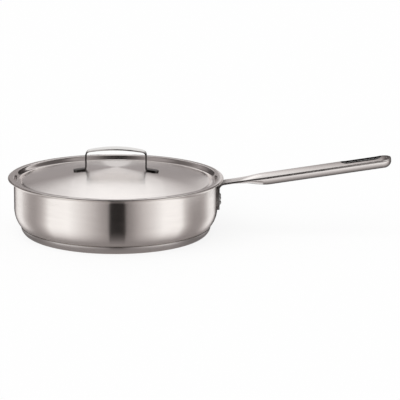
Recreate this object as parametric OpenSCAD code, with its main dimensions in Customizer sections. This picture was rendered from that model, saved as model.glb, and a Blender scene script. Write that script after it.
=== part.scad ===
// Stainless saute pan, 26 cm, with a capsule base, a riveted hollow handle and a lift-off domed lid.
// The pan stands on z = 0 with its axis on Z, and the long handle points along +X.

/* [Pan] */
// Outside radius of the straight wall
wall_r = 131; // [120:0.5:142]
// Thickness of the drawn steel sheet
sheet_t = 1; // [0.8:0.1:1.4]
// Height of the top of the pouring rim
rim_z = 72.8; // [70:0.2:84]
// How far the pouring rim's lip reaches beyond the wall
lip_out = 7.4; // [6.9:0.1:9]
// Radius of the flare under the rim
flare_r = 5.5; // [4:0.5:6]
// Height at which the wall starts to curve in
corner_z = 34; // [32:1:37]
// Radial half axis of the curved lower wall
corner_rx = 18.7; // [16:0.1:24]
// Vertical half axis of the curved lower wall
corner_rz = 27; // [25:0.5:31]

/* [Base] */
// How far the flat ring that the pan stands on lies inside the wall
foot_in = 18; // [15:0.5:23]
// Thickness of the capsule's outer steel
cap_t = 0.8; // [0.6:0.1:1]
// Height of the seam between the capsule and the wall
seam_z = 10.9; // [9:0.1:12]

/* [Long handle] */
// Thickness of each of the two handle stampings
shell_t = 1.4; // [1.2:0.1:1.6]
// Lowest point of the mounting flange
flange_z = 32; // [30:0.5:36]
// Half width of the flange on the wall
flange_w = 15; // [13:0.5:18]
// Half width of the flat neck
neck_w = 11; // [9:0.5:12]
// Half width of the grip
grip_w = 13; // [12:0.5:15]
// Rise of the handle above level, in degrees
rise = 9.17; // [6:0.1:12]
// Radius of the bend between flange and neck
bend_r = 8; // [6:0.5:9]
// Length of the handle from the wall to its tip
handle_len = 222; // [190:1:250]
// Height of the crown of the upper stamping
crown = 3.5; // [2:0.1:5]
// Depth of the lower stamping's trough
trough = 10.7; // [8:0.1:14]
// Half width of the hanging slot in the upper stamping
slot_r = 9; // [6:0.5:9.5]
// Half width of the narrower slot under it, in the lower stamping
under_slot_r = 3.2; // [2.5:0.1:4]
// Length of the hanging slot
slot_len = 52; // [30:1:70]
// Solid length between the slot and the tip
slot_land = 12; // [10:0.5:16]

/* [Rivets] */
// Radius of the rivet shank
rivet_r = 2.4; // [2:0.1:3]
// Radius of the rivet head
head_r = 3.5; // [3.2:0.1:4]
// Height of the domed outer head
head_h = 2; // [1.2:0.1:2.4]
// Height of the flat inner head
inner_head_h = 0.8; // [0.5:0.1:1.2]

/* [Lid] */
// How far the lid's edge stays inside the pouring lip
lid_in = 1.2; // [0.8:0.1:2]
// Thickness of the lid's sheet
lid_t = 0.8; // [0.6:0.1:1]
// How far outside the wall's face the lid's flange turns down
drop_out = 0.8; // [-0.5:0.1:1.5]
// How far inside the wall's face the groove floor starts
groove_from = 4.4; // [3.6:0.1:5]
// How far inside the wall's face the groove floor ends and the dome starts
groove_to = 8.8; // [7:0.1:11]
// Depth of the groove below the flange
groove_d = 6; // [3:0.1:7]
// Height of the dome's top above the flange's top
dome_rise = 11.5; // [8:0.1:18]
// Shape of the dome: 1 is a cone and 2 is round
dome_power = 1.25; // [1.1:0.05:2]

/* [Lid handle] */
// Thickness of the strap
strap_t = 1.8; // [1.4:0.1:2.5]
// Width of the strap at the middle of its arch
strap_w = 19; // [16:0.5:22]
// Width of the strap at its legs and feet
foot_w = 11; // [9:0.5:14]
// Half distance between the upright legs, to the middle of the strap
leg_x = 38.6; // [32:0.2:46]
// Radius from the lid's centre to the end of each foot
foot_end_r = 55; // [50:0.5:62]
// Height of the top of the strap above the top of the dome
strap_rise = 25; // [20:0.1:32]
// Radius of the long arch of the strap
arch_r = 180; // [140:5:260]
// Radius of the shoulders of the strap, to its middle
shoulder_r = 6; // [4:0.5:8]
// Radius of the bend between leg and foot, to its middle
ankle_r = 2.4; // [2:0.1:4]

/* [Hidden] */
round_fn = 144;
small_fn = 48;
eps = 0.01;
gap = 0.05;

// how far parts that are joined or cut by each other run past the shared face
overlap = 0.4;

// pan and base
rim_r = wall_r + lip_out;
foot_r = wall_r - foot_in;
lip_under_z = rim_z - sheet_t;
flare_z = lip_under_z - flare_r;
corner_r = wall_r - corner_rx;
bottom_z = corner_z - corner_rz;
seam_angle = -asin((corner_z - seam_z) / corner_rz);
seam_r = corner_r + corner_rx * cos(seam_angle);

// lid
seat_gap = 0.2;
lid_r = rim_r - lid_in;
drop_r = wall_r + drop_out;
groove_out_r = wall_r - groove_from;
groove_in_r = wall_r - groove_to;
drop_steps = 10;
dome_steps = 16;
dome_spacing = 1.2;
flange_top_z = rim_z + seat_gap + lid_t;
groove_z = flange_top_z - groove_d;
dome_top_z = flange_top_z + dome_rise;
function dome_z(r) = dome_top_z - (dome_top_z - groove_z) * pow(r / groove_in_r, dome_power);

// long handle
face_x = wall_r + shell_t + gap;
bend_turn = 90 - rise;
grip_ref_x = wall_r + 60;
grip_ref_z = rim_z + 2;
bend_end_x = face_x + bend_r * (1 - cos(bend_turn));
bend_end_z = grip_ref_z + (bend_end_x - grip_ref_x) * tan(rise);
bend_start_z = bend_end_z - bend_r * sin(bend_turn);
tip_x = wall_r + handle_len;
neck_end_x = wall_r + 19;
crown_full_x = neck_end_x + 40;
trough_full_x = neck_end_x + 47;
square_power = 8;
power_run = 20;
narrow_below = 10;
narrow_above = 6;
least_inner = 0.4;
tip_round = 13;
trough_round = 9.5;
tip_stop = 0.6;
corner_round = 7;
slot_end_x = tip_x - slot_land;
slot_start_x = slot_end_x - slot_len;
slot_cut_z = rim_z - 20;
slot_cut_h = 70;

// rivets: angle round the pan and height, upper pair and lower single
rivet_spread = 8;
rivet_angle = asin(rivet_spread / wall_r);
rivet_upper_z = 47.5;
rivet_lower_z = 40;
rivet_places = [[rivet_angle, rivet_upper_z], [-rivet_angle, rivet_upper_z], [0, rivet_lower_z]];
flange_face_r = wall_r + 2 * shell_t + gap;
hole_in = 6;
hole_len = 14;
trim_h = 40;

// points along an elliptical arc
function arc(cx, cz, rx, rz, from, to, steps) =
    [for (i = [0:steps]) let (a = from + (to - from) * i / steps) [cx + rx * cos(a), cz + rz * sin(a)]];

// smooth 0 to 1 between two places
function ramp(v, from, to) = let (u = min(1, max(0, (v - from) / (to - from)))) u * u * (3 - 2 * u);

// quarter-ellipse closing: 1 before from, 0 at to
function closing(v, from, to) = v <= from ? 1 : sqrt(max(0, 1 - pow((v - from) / (to - from), 2)));

// a list without its first item
function tail(list) = [for (i = [1:len(list) - 1]) list[i]];

function reversed(list) = [for (i = [len(list) - 1:-1:0]) list[i]];

// turns a child that stands on Z to lie along X, starting at a distance
module along_x(from) { translate([from, 0, 0]) rotate([0, 90, 0]) children(); }

module pan_body() {
    outer = concat(
        [[0, bottom_z]],
        arc(corner_r, corner_z, corner_rx, corner_rz, -90, seam_angle, 6),
        tail(arc(corner_r, corner_z, corner_rx, corner_rz, seam_angle, 0, 12)),
        arc(wall_r + flare_r, flare_z, flare_r, flare_r, 180, 90, 8),
        [[rim_r, lip_under_z], [rim_r, rim_z]]);
    inner = concat(
        arc(wall_r + flare_r, flare_z, flare_r + sheet_t, flare_r + sheet_t, 90, 180, 8),
        arc(corner_r, corner_z, corner_rx - sheet_t, corner_rz - sheet_t, 0, -90, 16),
        [[0, bottom_z + sheet_t]]);
    color("silver")
    difference() {
        rotate_extrude($fn = round_fn) polygon(concat(outer, inner));
        rivet_holes();
    }
}

// aluminium heat-spreading disc, pressed to fill the capsule
module base_core() {
    color("lightgray")
    rotate_extrude($fn = round_fn)
    polygon(concat(
        [[0, cap_t]],
        arc(foot_r, seam_z, seam_r - foot_r, seam_z - cap_t, -90, 0, 8),
        arc(corner_r, corner_z, corner_rx, corner_rz, seam_angle, -90, 6),
        [[0, bottom_z]]));
}

// steel capsule plate with a turned-up edge
module base_cap() {
    color("gray")
    rotate_extrude($fn = round_fn)
    polygon(concat(
        [[0, 0]],
        arc(foot_r, seam_z, seam_r + cap_t - foot_r, seam_z, -90, 0, 8),
        arc(foot_r, seam_z, seam_r - foot_r, seam_z - cap_t, 0, -90, 8),
        [[0, cap_t]]));
}

// Stations along the handle: [x, z, direction, half width, edge offset, crown, trough depth, outline power]
function flange_width(z) =
    let (low = flange_z + corner_round)
    (z < low ? flange_w - corner_round * (1 - sqrt(1 - pow((low - z) / corner_round, 2))) : flange_w)
    - (flange_w - neck_w) * ramp(z, bend_start_z - narrow_below, bend_start_z + narrow_above);

function flange_sag(w) = face_x - sqrt(face_x * face_x - w * w);

function flange_station(z) =
    let (w = flange_width(z))
    [face_x, z, 90, w, flange_sag(w), -flange_sag(w), shell_t, square_power];

function bend_station(turn) =
    let (z = bend_start_z + bend_r * sin(turn), w = flange_width(z),
         sag = flange_sag(w) * (1 - turn / bend_turn))
    [face_x + bend_r * (1 - cos(turn)), z, 90 - turn, w, sag, -sag, shell_t, square_power];

function grip_station(x) =
    let (close = closing(x, tip_x - tip_round, tip_x),
         w = (neck_w + (grip_w - neck_w) * ramp(x, neck_end_x, crown_full_x)) * close,
         depth = ramp(x, neck_end_x, trough_full_x),
         under = closing(x, tip_x - trough_round, tip_x))
    [x, grip_ref_z + (x - grip_ref_x) * tan(rise), rise, w, 0,
     crown * ramp(x, neck_end_x, crown_full_x) * close,
     (shell_t + (trough - shell_t) * depth) * (shell_t / trough + (1 - shell_t / trough) * under),
     square_power + (2 - square_power) * ramp(x, neck_end_x, neck_end_x + power_run)];

// The stations stand close together where the outline turns, and further apart on the straight grip.
foot_steps = 5;
bend_steps = 9;
tip_steps = 9;
flange_past = 2;
bend_before = 3;
neck_before = 6;
neck_pitch = 5;
neck_past = 4;
grip_past = 20;
grip_pitch = 24;
tip_before = 10;
tip_start_x = tip_x - tip_round;
stations = concat(
    [for (i = [0:foot_steps])
        flange_station(flange_z + corner_round * (1 - cos(90 * i / foot_steps)) + eps)],
    [for (z = [(flange_z + bend_start_z) / 2 + flange_past, bend_start_z - bend_before]) flange_station(z)],
    [for (i = [0:bend_steps]) bend_station(bend_turn * i / bend_steps)],
    [for (x = [neck_end_x - neck_before : neck_pitch : trough_full_x + neck_past]) grip_station(x)],
    [for (x = [trough_full_x + grip_past : grip_pitch : tip_start_x - tip_before]) grip_station(x)],
    [for (i = [0:tip_steps]) grip_station(tip_start_x + (tip_round - tip_stop) * sin(90 * i / tip_steps))]);

// a point across the handle: y across, h up from the line between the stampings
function placed(s, y, h) = [s[0] - h * sin(s[2]), y, s[1] + h * cos(s[2])];

// how far the middle of a stamping bows out at y
function bow(s, y) = s[4] + s[5] * (1 - pow(y / s[3], 2));

function upper_ring(s, steps) = concat(
    [for (i = [0:steps]) let (y = s[3] * (2 * i / steps - 1)) placed(s, y, bow(s, y))],
    [for (i = [steps:-1:0]) let (y = s[3] * (2 * i / steps - 1)) placed(s, y, bow(s, y) + shell_t)]);

function round_out(v, power) = sign(v) * pow(abs(v), 2 / power);

function trough_curve(s, w, depth, from, to, steps) =
    [for (i = [0:steps])
        let (a = from + (to - from) * i / steps, y = w * round_out(cos(a), s[7]),
             wrap = s[5] < 0 ? bow(s, y) : 0)
        placed(s, y, wrap + depth * round_out(sin(a), s[7]))];

function lower_ring(s, steps) = concat(
    trough_curve(s, s[3], s[6], 180, 360, steps),
    trough_curve(s, max(s[3] - shell_t, s[3] * least_inner), max(s[6] - shell_t, 0), 360, 180, steps));

// closed solid through rings of equal point count: each runs out along one face and back along the other
module skin(rings) {
    n = len(rings[0]);
    last = len(rings) - 1;
    polyhedron(
        points = [for (r = rings) for (p = r) p],
        faces = concat(
            [for (i = [0:n / 2 - 2]) [i, i + 1, n - 2 - i, n - 1 - i]],
            [for (k = [0:last - 1]) for (i = [0:n - 1])
                [k * n + i, (k + 1) * n + i, (k + 1) * n + (i + 1) % n]],
            [for (k = [0:last - 1]) for (i = [0:n - 1])
                [k * n + i, (k + 1) * n + (i + 1) % n, k * n + (i + 1) % n]],
            [for (i = [0:n / 2 - 2]) [for (j = [n - 1 - i, n - 2 - i, i + 1, i]) last * n + j]]));
}

module hanging_slot(r) {
    for (x = [slot_start_x + r, slot_end_x - r])
        translate([x, 0, slot_cut_z]) cylinder(r = r, h = slot_cut_h, $fn = small_fn);
    translate([slot_start_x + r, -r, slot_cut_z]) cube([slot_len - 2 * r, 2 * r, slot_cut_h]);
}

module rivet_holes() {
    for (place = rivet_places)
        rotate([0, 0, place[0]]) translate([0, 0, place[1]])
            along_x(wall_r - hole_in) cylinder(r = rivet_r + gap, h = hole_len, $fn = small_fn);
}

module handle_upper_shell() {
    color("silver")
    difference() {
        skin([for (s = stations) upper_ring(s, 10)]);
        hanging_slot(slot_r);
        rivet_holes();
    }
}

module handle_lower_shell() {
    color("darkgray")
    difference() {
        skin([for (s = stations) lower_ring(s, 12)]);
        hanging_slot(under_slot_r);
        rivet_holes();
    }
}

// solid rivet through wall and flange: domed head outside, flat head inside
module rivet(place) {
    inner_r = wall_r - sheet_t;
    head_ball_r = (head_r * head_r + head_h * head_h) / (2 * head_h);
    color("gainsboro")
    rotate([0, 0, place[0]]) translate([0, 0, place[1]]) {
        along_x(inner_r - overlap)
            cylinder(r = rivet_r, h = flange_face_r - inner_r + 2 * overlap, $fn = small_fn);
        difference() {
            along_x(flange_face_r - overlap) intersection() {
                translate([0, 0, head_h + overlap - head_ball_r]) sphere(r = head_ball_r, $fn = small_fn);
                cylinder(r = head_r, h = head_h + 2 * overlap, $fn = small_fn);
            }
            cylinder(r = flange_face_r + eps, h = trim_h, center = true, $fn = round_fn);
        }
        intersection() {
            along_x(inner_r - inner_head_h)
                cylinder(r = head_r, h = inner_head_h + overlap, $fn = small_fn);
            cylinder(r = inner_r - eps, h = trim_h, center = true, $fn = round_fn);
        }
    }
}

// the dome from its edge to its centre, lowered by a distance
function dome_line(lower) =
    [for (i = [0:dome_steps])
        let (r = groove_in_r * pow(1 - i / dome_steps, dome_spacing)) [r, dome_z(r) - lower]];

// one face of the lid from the rim inwards, lowered by a sheet or not at all
function lid_line(lower) = concat(
    [[lid_r, flange_top_z - lower]],
    [for (i = [0:drop_steps]) let (u = i / drop_steps, down = (1 - cos(180 * u)) / 2)
        [drop_r + (groove_out_r - drop_r) * u + lower * sin(180 * u) / 2,
         flange_top_z - groove_d * down - lower]],
    dome_line(lower));

module lid_shell() {
    color("silver")
    rotate_extrude($fn = round_fn) polygon(concat(lid_line(0), reversed(lid_line(lid_t))));
}

// middle line of the strap on the +X side, from the end of the foot to the top of the arch
top_z = dome_top_z + strap_rise - strap_t / 2;
arch_half = asin((leg_x - shoulder_r) / (arch_r - shoulder_r));
shoulder_z = top_z - arch_r + (arch_r - shoulder_r) * cos(arch_half);
foot_slope = atan((dome_z(leg_x) - dome_z(foot_end_r)) / (foot_end_r - leg_x));
foot_lift = strap_t / 2 + 0.15;
strap_cut_h = 60;
foot_z = dome_z(foot_end_r) + foot_lift;
ankle_x = leg_x + ankle_r;
ankle_z = foot_z + (foot_end_r - ankle_x) * tan(foot_slope) + ankle_r / cos(foot_slope);

strap_half = concat(
    [[foot_end_r, foot_z]],
    arc(ankle_x, ankle_z, ankle_r, ankle_r, 270 - foot_slope, 180, 6),
    arc(leg_x - shoulder_r, shoulder_z, shoulder_r, shoulder_r, 0, 90 - arch_half, 8),
    arc(0, top_z - arch_r, arch_r, arch_r, 90 - arch_half * 0.8, 90, 6));
strap_line = concat(strap_half, [for (p = tail(reversed(strap_half))) [-p[0], p[1]]]);

// the line moved sideways by a distance, square to its run at each point
function line_normal(line, i) =
    let (d = line[min(i + 1, len(line) - 1)] - line[max(i - 1, 0)]) [-d[1], d[0]] / norm(d);

function offset_line(line, by) = [for (i = [0:len(line) - 1]) line[i] + by * line_normal(line, i)];

// outline of the strap from above: leaf-shaped between the legs, with a round foot at each end
module strap_plan() {
    narrow = (strap_w - foot_w) / 2;
    side_r = (leg_x * leg_x + narrow * narrow) / (2 * narrow);
    intersection() {
        translate([0, side_r - strap_w / 2]) circle(r = side_r, $fn = round_fn);
        translate([0, strap_w / 2 - side_r]) circle(r = side_r, $fn = round_fn);
        square([2 * leg_x + 3 * strap_t, strap_w], center = true);
    }
    for (side = [-1, 1])
        translate([side * (foot_end_r - foot_w / 2), 0]) circle(r = foot_w / 2, $fn = small_fn);
    translate([foot_w / 2 - foot_end_r, -foot_w / 2]) square([2 * foot_end_r - foot_w, foot_w]);
}

module lid_handle() {
    color("silver")
    difference() {
        intersection() {
            translate([0, strap_w / 2, 0]) rotate([90, 0, 0]) linear_extrude(strap_w)
                polygon(concat(offset_line(strap_line, strap_t / 2),
                               reversed(offset_line(strap_line, -strap_t / 2))));
            translate([0, 0, rim_z]) linear_extrude(strap_cut_h) strap_plan();
        }
        rotate_extrude($fn = round_fn) polygon(concat(dome_line(0), [[0, 0], [groove_in_r, 0]]));
    }
}

pan_body();
base_core();
base_cap();
handle_upper_shell();
handle_lower_shell();
rivet(rivet_places[0]);  // rivet_left
rivet(rivet_places[1]);  // rivet_right
rivet(rivet_places[2]);  // rivet_lower
lid_shell();
lid_handle();
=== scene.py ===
"""Dresses the steel saute pan and its lid: smooth pieces, spun and satin finishes, studio and camera."""

import logging
import math
from dataclasses import dataclass
from enum import Enum
from typing import Callable, NamedTuple, Sequence

import bmesh
import bpy
from mathutils import Matrix, Vector


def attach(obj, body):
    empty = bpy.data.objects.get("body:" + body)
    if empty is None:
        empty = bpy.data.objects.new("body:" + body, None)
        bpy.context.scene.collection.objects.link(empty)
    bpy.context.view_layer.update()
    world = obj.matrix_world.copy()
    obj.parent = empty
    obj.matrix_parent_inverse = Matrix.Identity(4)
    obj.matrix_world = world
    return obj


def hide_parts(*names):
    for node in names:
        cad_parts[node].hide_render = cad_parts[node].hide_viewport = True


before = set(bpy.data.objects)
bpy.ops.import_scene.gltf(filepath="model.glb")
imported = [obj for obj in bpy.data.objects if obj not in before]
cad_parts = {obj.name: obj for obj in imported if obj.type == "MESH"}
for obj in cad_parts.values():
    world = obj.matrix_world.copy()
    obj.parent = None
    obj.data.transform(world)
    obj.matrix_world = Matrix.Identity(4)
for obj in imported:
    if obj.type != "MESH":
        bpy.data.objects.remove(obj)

log = logging.getLogger("saute_pan")

MM = 0.001
SPIN_STEPS = 256
SHARP_ANGLE = math.radians(34)
WELD = 0.002 * MM

Point = tuple[float, float]
Triple = tuple[float, float, float]
Colour = Triple
Grade = tuple[float, float, float, float]
Face = tuple[int, ...]
Lines = tuple[list[Point], list[Point]]
Socket = bpy.types.NodeSocket
Feeds = dict[str | int, object]

NOISE_RANGE: Point = (0.3, 0.7)
MIX_FIRST, MIX_SECOND, MIX_RESULT = 6, 7, 2
CARD_DARK: Colour = (1.0, 0.90, 0.89)
CARD_BRIGHT: Colour = (1.0, 1.0, 1.0)


def ramp(value: float, start: float, end: float) -> float:
    """Rises smoothly from 0 at start to 1 at end."""
    share = min(1.0, max(0.0, (value - start) / (end - start)))
    return share * share * (3 - 2 * share)


def closing(value: float, start: float, end: float) -> float:
    """Falls from 1 at start to 0 at end along a quarter ellipse."""
    share = max(0.0, (value - start) / (end - start))
    return math.sqrt(max(0.0, 1 - share ** 2))


def arc(centre: Point, axes: Point, start: float, end: float, steps: int) -> list[Point]:
    """Points along an elliptical arc, both ends included, between two angles in degrees."""
    angles = [math.radians(start + (end - start) * i / steps) for i in range(steps + 1)]
    return [(centre[0] + axes[0] * math.cos(a), centre[1] + axes[1] * math.sin(a)) for a in angles]


def eased(line: list[Point], radius: float, steps: int = 5) -> list[Point]:
    """Rounds the corners of a line between its two ends.

    Args:
        line: Points of the line. Its ends only give direction.
        radius: How far from a corner its rounding starts.
        steps: Number of stretches in each rounding.

    Returns:
        Points that take the corners' place.
    """
    points = []
    for before, corner, after in zip(line, line[1:], line[2:]):
        middle = Vector(corner)
        sides = [Vector(end) - middle for end in (before, after)]
        first, last = [middle + side.normalized() * min(radius, side.length / 2) for side in sides]
        for i in range(steps + 1):
            t = i / steps
            p = first * (1 - t) ** 2 + middle * (2 * t * (1 - t)) + last * t ** 2
            points.append((p.x, p.y))
    return points


def grid(columns: int, rows: int, closed: bool = False) -> list[Face]:
    """Faces between neighbouring columns of points. A closed column is a ring."""
    pairs = [(r, (r + 1) % rows) for r in range(rows if closed else rows - 1)]
    return [(c * rows + r, (c + 1) * rows + r, (c + 1) * rows + s, c * rows + s)
            for c in range(columns - 1) for r, s in pairs]


def linked(name: str, data: bpy.types.ID) -> bpy.types.Object:
    """Makes an object from a mesh, lamp or camera and puts it in the scene."""
    made = bpy.data.objects.new(name, data)
    bpy.context.scene.collection.objects.link(made)
    return made


def finished(name: str, points: list[Vector], faces: list[Face],
             inside: list[float] | None = None) -> bpy.types.Object:
    """Makes a smooth object from points in millimetres, with its hard corners kept hard.

    Args:
        name: Name of the piece.
        points: Places of the vertices, in millimetres.
        faces: Vertex numbers of each face.
        inside: How much painted shade shows at each vertex, from 0 to 1: near black inside the hollow handle,
            and a painted shade under its trough.

    Returns:
        The new object, at the origin.
    """
    mesh = bpy.data.meshes.new(name)
    mesh.from_pydata([tuple(Vector(p) * MM) for p in points], [], faces)
    if inside:
        mesh.attributes.new("inside", "FLOAT", "POINT").data.foreach_set("value", inside)
    work = bmesh.new()
    work.from_mesh(mesh)
    bmesh.ops.remove_doubles(work, verts=work.verts, dist=WELD)
    bmesh.ops.dissolve_degenerate(work, edges=work.edges, dist=WELD / 2)
    bmesh.ops.recalc_face_normals(work, faces=work.faces)
    for face in work.faces:
        face.smooth = True
    for edge in work.edges:
        edge.smooth = len(edge.link_faces) == 2 and edge.calc_face_angle(0.0) < SHARP_ANGLE
    work.to_mesh(mesh)
    work.free()
    return linked(name, mesh)


def lathe(name: str, outline: list[Point]) -> bpy.types.Object:
    """Spins an outline of radius and height about the Z axis.

    Args:
        name: Name of the piece.
        outline: Outline in millimetres, from the axis round to the axis.

    Returns:
        The new object.
    """
    turns = [2 * math.pi * i / SPIN_STEPS for i in range(SPIN_STEPS)]
    points = [Vector((radius * math.cos(t), radius * math.sin(t), height)) for radius, height in outline
              for t in turns]
    return finished(name, points, grid(len(outline), SPIN_STEPS, closed=True))


class Graph:
    """Adds and joins the nodes of one material or world."""

    def __init__(self, tree: bpy.types.NodeTree) -> None:
        """Empties the tree and keeps it."""
        self.tree = tree
        tree.nodes.clear()

    def node(self, kind: str, feeds: Feeds | None = None, **settings: object) -> bpy.types.Node:
        """Adds a node.

        Args:
            kind: Blender's name of the node type.
            feeds: What goes into its inputs, by name or number: a socket to link, or a plain value.
            **settings: Properties to set on it.

        Returns:
            The node.
        """
        made = self.tree.nodes.new(kind)
        for key, value in settings.items():
            setattr(made, key, value)
        for key, value in (feeds or {}).items():
            if isinstance(value, bpy.types.NodeSocket):
                self.tree.links.new(value, made.inputs[key])
            else:
                made.inputs[key].default_value = value
        return made

    def output(self, shader: bpy.types.Node, kind: str = "ShaderNodeOutputMaterial") -> None:
        """Ends the graph in a shader."""
        self.node(kind, {"Surface": shader.outputs[0]})

    def math(self, operation: str, first: object, second: object = 0.0) -> Socket:
        """Adds a Math node and returns its result."""
        return self.node("ShaderNodeMath", {0: first, 1: second}, operation=operation).outputs[0]

    def combine(self, x: object, y: object, z: object) -> Socket:
        """Joins three numbers into a vector."""
        return self.node("ShaderNodeCombineXYZ", {0: x, 1: y, 2: z}).outputs[0]

    def split(self, vector: Socket) -> list[Socket]:
        """Splits a vector into its X, Y and Z."""
        return list(self.node("ShaderNodeSeparateXYZ", {0: vector}).outputs)

    def place(self) -> Socket:
        """The point in the piece's own frame."""
        return self.node("ShaderNodeTexCoord").outputs["Object"]

    def flat(self) -> Socket:
        """The point in the piece's own frame, brought down to height 0."""
        x, y, _ = self.split(self.place())
        return self.combine(x, y, 0.0)

    def radius(self) -> Socket:
        """The point's distance from the Z axis."""
        return self.node("ShaderNodeVectorMath", {0: self.flat()}, operation="LENGTH").outputs["Value"]

    def attribute(self, name: str) -> Socket:
        """The value that the mesh holds under a name."""
        return self.node("ShaderNodeAttribute", attribute_type="GEOMETRY", attribute_name=name).outputs["Fac"]

    def noise(self, where: Socket, scale: float = 1.0, detail: float = 3.0) -> Socket:
        """Adds a Noise Texture and returns its value."""
        feeds = {"Vector": where, "Scale": scale, "Detail": detail}
        return self.node("ShaderNodeTexNoise", feeds).outputs["Fac"]

    def mapped(self, value: Socket, before: Point, after: Point, **settings: object) -> Socket:
        """Maps a value from one range to another. The settings are the Map Range node's."""
        ends = dict(zip(("From Min", "From Max", "To Min", "To Max"), before + after))
        return self.node("ShaderNodeMapRange", {"Value": value, **ends}, **settings).outputs["Result"]

    def spread(self, value: Socket, low: float, high: float) -> Socket:
        """Stretches a noise's usual range to run from low to high."""
        return self.mapped(value, NOISE_RANGE, (low, high))

    def mix(self, share: object, first: object, second: object) -> Socket:
        """Mixes two colours, each a socket or three numbers, by the second one's share."""
        ends = [(*end, 1.0) if isinstance(end, tuple) else end for end in (first, second)]
        feeds = {"Factor": share, MIX_FIRST: ends[0], MIX_SECOND: ends[1]}
        return self.node("ShaderNodeMix", feeds, data_type="RGBA").outputs[MIX_RESULT]


def new_material(name: str) -> tuple[bpy.types.Material, Graph]:
    """Makes a material with no nodes, and the graph that fills it."""
    made = bpy.data.materials.new(name)
    made.use_nodes = True
    return made, Graph(made.node_tree)


class Grain(Enum):
    """Which way a finish's brush lines run."""

    ROUND = "round the axis of the pan"
    ALONG = "along the long handle"
    NONE = "no direction"


@dataclass(frozen=True)
class PaintedShadeZone:
    """A zone of painted shade in a finish, darker by distance from the middle plane across X, in millimetres;
    it stands in for shade and dark reflections.
    """

    colour: Colour
    full_at: float
    none_at: float


@dataclass(frozen=True)
class Steel:
    """A stainless steel finish. Lengths are in millimetres."""

    name: str
    light: Colour
    dark: Colour
    roughness: float
    anisotropy: float
    grain: Grain
    line_pitch: float = 0.35
    line_length: float = 4.0
    line_depth: float = 0.01
    line_stretch: float = 60.0
    line_detail: float = 4.0
    broad_pitch: float = 9.0
    broad_detail: float = 2.0
    cloud_scale: float = 14.0
    relief: float = 0.04
    streaks: float = 0.015
    clouds: float = 0.015
    least_roughness: float = 0.03
    crisp_from: float = 0.0
    crisp_before: float = 1.5
    crisp_after: float = 0.5
    crisp_roughness: float = 0.12
    painted_zone: PaintedShadeZone | None = None
    painted_inside_shade: Colour | None = None

    def lines(self, graph: Graph, pitch: float) -> Socket:
        """Coordinates that change slowly along the brush lines and quickly across them.

        Args:
            graph: The material's nodes.
            pitch: Spacing of the lines in millimetres.

        Returns:
            A vector for a noise texture.
        """
        x, y, z = graph.split(graph.place())
        across = 1 / (pitch * MM)
        if self.grain is Grain.ROUND:
            heading = graph.node("ShaderNodeVectorMath", {0: graph.flat()}, operation="NORMALIZE").outputs[0]
            feeds = {0: heading, "Scale": self.line_length}
            turned = graph.split(graph.node("ShaderNodeVectorMath", feeds, operation="SCALE").outputs[0])
            run = graph.math("MULTIPLY", graph.math("ADD", graph.radius(), z), across)
            return graph.combine(turned[0], turned[1], run)
        slow = across / self.line_stretch if self.grain is Grain.ALONG else across
        paces = ((x, slow), (y, across), (z, across))
        return graph.combine(*[graph.math("MULTIPLY", part, pace) for part, pace in paces])

    def painted_zone_share(self, graph: Graph, painted_zone: PaintedShadeZone) -> Socket:
        """How much of the zone of painted shade shows, from 0 to 1."""
        away = graph.math("ABSOLUTE", graph.split(graph.place())[0])
        zone = (painted_zone.none_at * MM, painted_zone.full_at * MM)
        return graph.mapped(away, zone, (0.0, 1.0), interpolation_type="SMOOTHSTEP")

    def crisper(self, graph: Graph) -> Socket:
        """How much less rough the finish is beyond the crisp radius."""
        edge = ((self.crisp_from - self.crisp_before) * MM, (self.crisp_from + self.crisp_after) * MM)
        return graph.mapped(graph.radius(), edge, (0.0, self.roughness - self.crisp_roughness))

    def material(self) -> bpy.types.Material:
        """Builds the node material.

        Returns:
            The material.
        """
        made, graph = new_material(self.name)
        fine = graph.noise(self.lines(graph, self.line_pitch), detail=self.line_detail)
        broad = graph.noise(self.lines(graph, self.line_pitch * self.broad_pitch), detail=self.broad_detail)
        cloud = graph.noise(graph.place(), scale=self.cloud_scale)
        uneven = graph.math("ADD", graph.math("MULTIPLY", broad, 0.5), graph.math("MULTIPLY", cloud, 0.5))
        colour = graph.mix(graph.spread(uneven, 0.0, 1.0), self.light, self.dark)
        # Painted shade: a zone across X is darkened in place of shade and dark reflections.
        if self.painted_zone:
            colour = graph.mix(self.painted_zone_share(graph, self.painted_zone), colour, self.painted_zone.colour)
        # Painted shade of the handle's hollow inside and under its trough, by the mesh's inside values.
        if self.painted_inside_shade:
            colour = graph.mix(graph.attribute("inside"), colour, self.painted_inside_shade)
        wear = graph.math("ADD", graph.spread(broad, -self.streaks, self.streaks),
                          graph.spread(cloud, -self.clouds, self.clouds))
        lined = graph.spread(fine, self.roughness - self.streaks, self.roughness + self.streaks)
        wear = graph.math("ADD", wear, lined)
        if self.crisp_from:
            wear = graph.math("SUBTRACT", wear, self.crisper(graph))
        relief = {"Strength": self.relief, "Distance": self.line_depth * MM, "Height": fine}
        feeds: Feeds = {
            "Metallic": 1.0,
            "Anisotropic": self.anisotropy,
            "Base Color": colour,
            "Roughness": graph.math("MAXIMUM", wear, self.least_roughness),
            "Normal": graph.node("ShaderNodeBump", relief).outputs[0],
        }
        if self.grain is not Grain.NONE:
            axis, feeds["Anisotropic Rotation"] = TANGENTS[self.grain]
            feeds["Tangent"] = graph.node("ShaderNodeTangent", direction_type="RADIAL", axis=axis).outputs[0]
        graph.output(graph.node("ShaderNodeBsdfPrincipled", feeds))
        return made


# Axis of a finish's lines, and the turn of its highlight's stretch as a share of a whole turn
TANGENTS = {Grain.ROUND: ("Z", 0.25), Grain.ALONG: ("X", 0.0)}

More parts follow.
